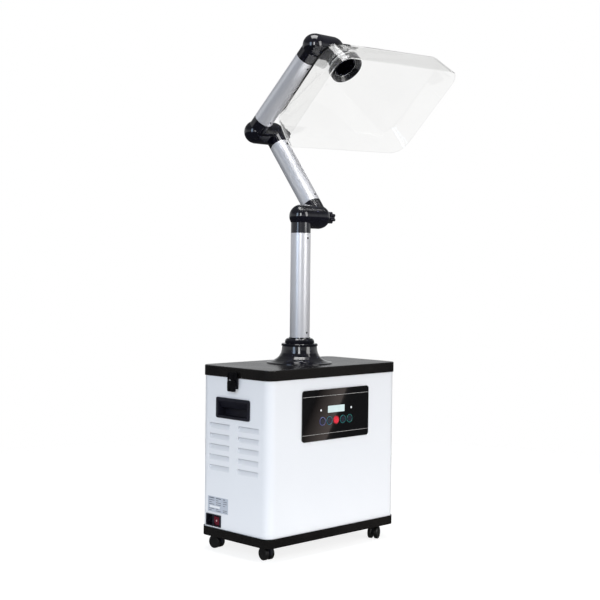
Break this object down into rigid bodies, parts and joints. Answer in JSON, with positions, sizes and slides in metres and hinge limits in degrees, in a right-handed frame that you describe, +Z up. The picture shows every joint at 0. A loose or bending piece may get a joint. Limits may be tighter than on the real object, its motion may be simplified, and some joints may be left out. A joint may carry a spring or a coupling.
{
  "type": "salon fume extractor",
  "caption": "Wheeled filter cabinet with a swivelling, jointed duct arm that carries a clear rectangular extraction hood over a beauty or nail treatment.",
  "frame": {"origin": "on the floor, under the middle of the cabinet", "axes": "+Z up, -Y the side with the control panel, +X to the right of the panel"},
  "size_m": [0.5159, 0.4911, 1.2762],
  "materials": {
    "white_paint": "fine-texture powder coat",
    "black_top": "satin-gloss moulding",
    "foam": "closed-cell foam",
    "panel_gloss": "polished",
    "screen": "lit display behind clear plastic",
    "lamp": "frosted lens",
    "circuit_board": "solder mask",
    "button_black": "polished",
    "red_plastic": "polished",
    "matte_black": "fine-textured moulding",
    "castor_rubber": "hard nylon tread",
    "black_zinc": "black passivated",
    "galvanised": "zinc plated",
    "white_fibre": "pleated glass paper and polyester felt",
    "carbon_felt": "granules between nets",
    "blower_plastic": "moulded",
    "joint_gloss": "polished injection moulding",
    "anodised": "satin anodised, drawn lengthwise",
    "screw_black": "black oxide",
    "clear_acrylic": "clear thermoformed sheet"
  },
  "bodies": {
    "cabinet": {"cabinet_shell": "white_paint", "base_tray": "black_top", "lid": "black_top", "filter_gasket": "foam", "control_panel": "panel_gloss", "lcd_screen": "screen", "indicator_leds": "lamp", "control_board": "circuit_board", "side_handles": "matte_black", "mains_inlet": "matte_black", "latch_bases": "black_zinc", "latch_keepers": "black_zinc", "filter_shelf": "galvanised", "carbon_filter": "carbon_felt", "hepa_filter": "white_fibre", "prefilter": "white_fibre", "blower_housing": "galvanised", "blower_motor": "galvanised", "castor_plates": "galvanised", "arm_flange": "joint_gloss", "flange_screws": "screw_black"},
    "arm_lower": {"swivel_collar": "joint_gloss", "lower_tube": "anodised", "lower_tube_screws": "screw_black", "lower_elbow_base": "joint_gloss"},
    "arm_middle": {"lower_elbow_head": "joint_gloss", "middle_tube": "anodised", "middle_tube_screws": "screw_black", "middle_elbow_base": "joint_gloss"},
    "arm_upper": {"middle_elbow_head": "joint_gloss", "upper_tube": "anodised", "upper_tube_screws": "screw_black", "upper_elbow_base": "joint_gloss"},
    "head": {"upper_elbow_head": "joint_gloss", "nozzle_neck": "joint_gloss", "hood_clamp": "joint_gloss", "nozzle_ring": "joint_gloss"},
    "hood_turning": {"hood": "clear_acrylic"},
    "knob_lower": {"lower_knob": "matte_black"},
    "knob_middle": {"middle_knob": "matte_black"},
    "knob_upper": {"upper_knob": "matte_black"},
    "impeller": {"blower_impeller": "blower_plastic"},
    "rocker": {"rocker_switch": "red_plastic"},
    "button_timer_cap": {"button_timer": "button_black"},
    "button_slower_cap": {"button_slower": "button_black"},
    "button_power_cap": {"button_power": "red_plastic"},
    "button_faster_cap": {"button_faster": "button_black"},
    "button_light_cap": {"button_light": "button_black"},
    "lever_left": {"latch_lever_left": "black_zinc"},
    "bail_left": {"latch_bail_left": "black_zinc"},
    "lever_right": {"latch_lever_right": "black_zinc"},
    "bail_right": {"latch_bail_right": "black_zinc"},
    "castor_front_left": {"castor_fork_front_left": "matte_black"},
    "wheels_front_left": {"castor_wheels_front_left": "castor_rubber"},
    "castor_back_left": {"castor_fork_back_left": "matte_black"},
    "wheels_back_left": {"castor_wheels_back_left": "castor_rubber"},
    "castor_front_right": {"castor_fork_front_right": "matte_black"},
    "wheels_front_right": {"castor_wheels_front_right": "castor_rubber"},
    "castor_back_right": {"castor_fork_back_right": "matte_black"},
    "wheels_back_right": {"castor_wheels_back_right": "castor_rubber"}
  },
  "joints": [
    {"name": "base_swivel", "type": "hinge", "parent": "cabinet", "child": "arm_lower", "pos_m": [0, 0.008, 0.455], "axis": [0, 0, 1], "continuous": true},
    {"name": "lower_elbow", "type": "hinge", "parent": "arm_lower", "child": "arm_middle", "pos_m": [0.063, 0.008, 0.824], "axis": [1, 0, 0], "range_deg": [-50, 60]},
    {"name": "middle_elbow", "type": "hinge", "parent": "arm_middle", "child": "arm_upper", "pos_m": [0.063, 0.17945, 1.04663], "axis": [1, 0, 0], "range_deg": [-80, 25]},
    {"name": "upper_elbow", "type": "hinge", "parent": "arm_upper", "child": "head", "pos_m": [0.063, -0.03233, 1.24621], "axis": [1, 0, 0], "range_deg": [-90, 25]},
    {"name": "hood_turn", "type": "hinge", "parent": "head", "child": "hood_turning", "pos_m": [0.063, -0.03233, 1.24621], "axis": [0, 0.682, 0.7314], "continuous": true},
    {"name": "lower_knob_turn", "type": "hinge", "parent": "arm_middle", "child": "knob_lower", "pos_m": [0.063, 0.008, 0.824], "axis": [1, 0, 0], "continuous": true},
    {"name": "middle_knob_turn", "type": "hinge", "parent": "arm_middle", "child": "knob_middle", "pos_m": [0.063, 0.17945, 1.04663], "axis": [1, 0, 0], "continuous": true},
    {"name": "upper_knob_turn", "type": "hinge", "parent": "head", "child": "knob_upper", "pos_m": [0.063, -0.03233, 1.24621], "axis": [1, 0, 0], "continuous": true},
    {"name": "blower_spin", "type": "hinge", "parent": "cabinet", "child": "impeller", "pos_m": [0, 0, 0.25], "axis": [0, 0, 1], "continuous": true},
    {"name": "press_timer", "type": "slide", "parent": "cabinet", "child": "button_timer_cap", "axis": [0, 1, 0], "range_m": [0, 0.0012], "stiffness_N_per_m": 900, "springref_m": -0.0006},
    {"name": "press_slower", "type": "slide", "parent": "cabinet", "child": "button_slower_cap", "axis": [0, 1, 0], "range_m": [0, 0.0012], "stiffness_N_per_m": 900, "springref_m": -0.0006},
    {"name": "press_power", "type": "slide", "parent": "cabinet", "child": "button_power_cap", "axis": [0, 1, 0], "range_m": [0, 0.0012], "stiffness_N_per_m": 900, "springref_m": -0.0006},
    {"name": "press_faster", "type": "slide", "parent": "cabinet", "child": "button_faster_cap", "axis": [0, 1, 0], "range_m": [0, 0.0012], "stiffness_N_per_m": 900, "springref_m": -0.0006},
    {"name": "press_light", "type": "slide", "parent": "cabinet", "child": "button_light_cap", "axis": [0, 1, 0], "range_m": [0, 0.0012], "stiffness_N_per_m": 900, "springref_m": -0.0006},
    {"name": "rocker_tilt", "type": "hinge", "parent": "cabinet", "child": "rocker", "pos_m": [-0.2204, 0.059, 0.077], "axis": [0, 1, 0], "range_deg": [0, 16]},
    {"name": "latch_lever_left_swing", "type": "hinge", "parent": "cabinet", "child": "lever_left", "pos_m": [-0.232, 0, 0.421], "axis": [0, 1, 0], "range_deg": [0, 80]},
    {"name": "latch_bail_left_swing", "type": "hinge", "parent": "lever_left", "child": "bail_left", "pos_m": [-0.232, 0, 0.413], "axis": [0, 1, 0], "range_deg": [-64, 0]},
    {"name": "latch_lever_right_swing", "type": "hinge", "parent": "cabinet", "child": "lever_right", "pos_m": [0.232, 0, 0.421], "axis": [0, -1, 0], "range_deg": [0, 80]},
    {"name": "latch_bail_right_swing", "type": "hinge", "parent": "lever_right", "child": "bail_right", "pos_m": [0.232, 0, 0.413], "axis": [0, -1, 0], "range_deg": [-64, 0]},
    {"name": "castor_front_left_swivel", "type": "hinge", "parent": "cabinet", "child": "castor_front_left", "pos_m": [-0.188, -0.088, 0.03], "axis": [0, 0, 1], "continuous": true},
    {"name": "castor_front_left_roll", "type": "hinge", "parent": "castor_front_left", "child": "wheels_front_left", "pos_m": [-0.18695, -0.07605, 0.016], "axis": [-0.9962, 0.0872, 0], "continuous": true},
    {"name": "castor_back_left_swivel", "type": "hinge", "parent": "cabinet", "child": "castor_back_left", "pos_m": [-0.188, 0.088, 0.03], "axis": [0, 0, 1], "continuous": true},
    {"name": "castor_back_left_roll", "type": "hinge", "parent": "castor_back_left", "child": "wheels_back_left", "pos_m": [-0.18946, 0.09991, 0.016], "axis": [-0.9925, -0.1219, 0], "continuous": true},
    {"name": "castor_front_right_swivel", "type": "hinge", "parent": "cabinet", "child": "castor_front_right", "pos_m": [0.188, -0.088, 0.03], "axis": [0, 0, 1], "continuous": true},
    {"name": "castor_front_right_roll", "type": "hinge", "parent": "castor_front_right", "child": "wheels_front_right", "pos_m": [0.17712, -0.09307, 0.016], "axis": [0.4226, -0.9063, 0], "continuous": true},
    {"name": "castor_back_right_swivel", "type": "hinge", "parent": "cabinet", "child": "castor_back_right", "pos_m": [0.188, 0.088, 0.03], "axis": [0, 0, 1], "continuous": true},
    {"name": "castor_back_right_roll", "type": "hinge", "parent": "castor_back_right", "child": "wheels_back_right", "pos_m": [0.17618, 0.08592, 0.016], "axis": [0.1736, -0.9848, 0], "continuous": true}
  ],
  "couplings": [
    {"joint": "latch_bail_left_swing", "follows": "latch_lever_left_swing", "ratio": -0.8},
    {"joint": "latch_bail_right_swing", "follows": "latch_lever_right_swing", "ratio": -0.8}
  ]
}
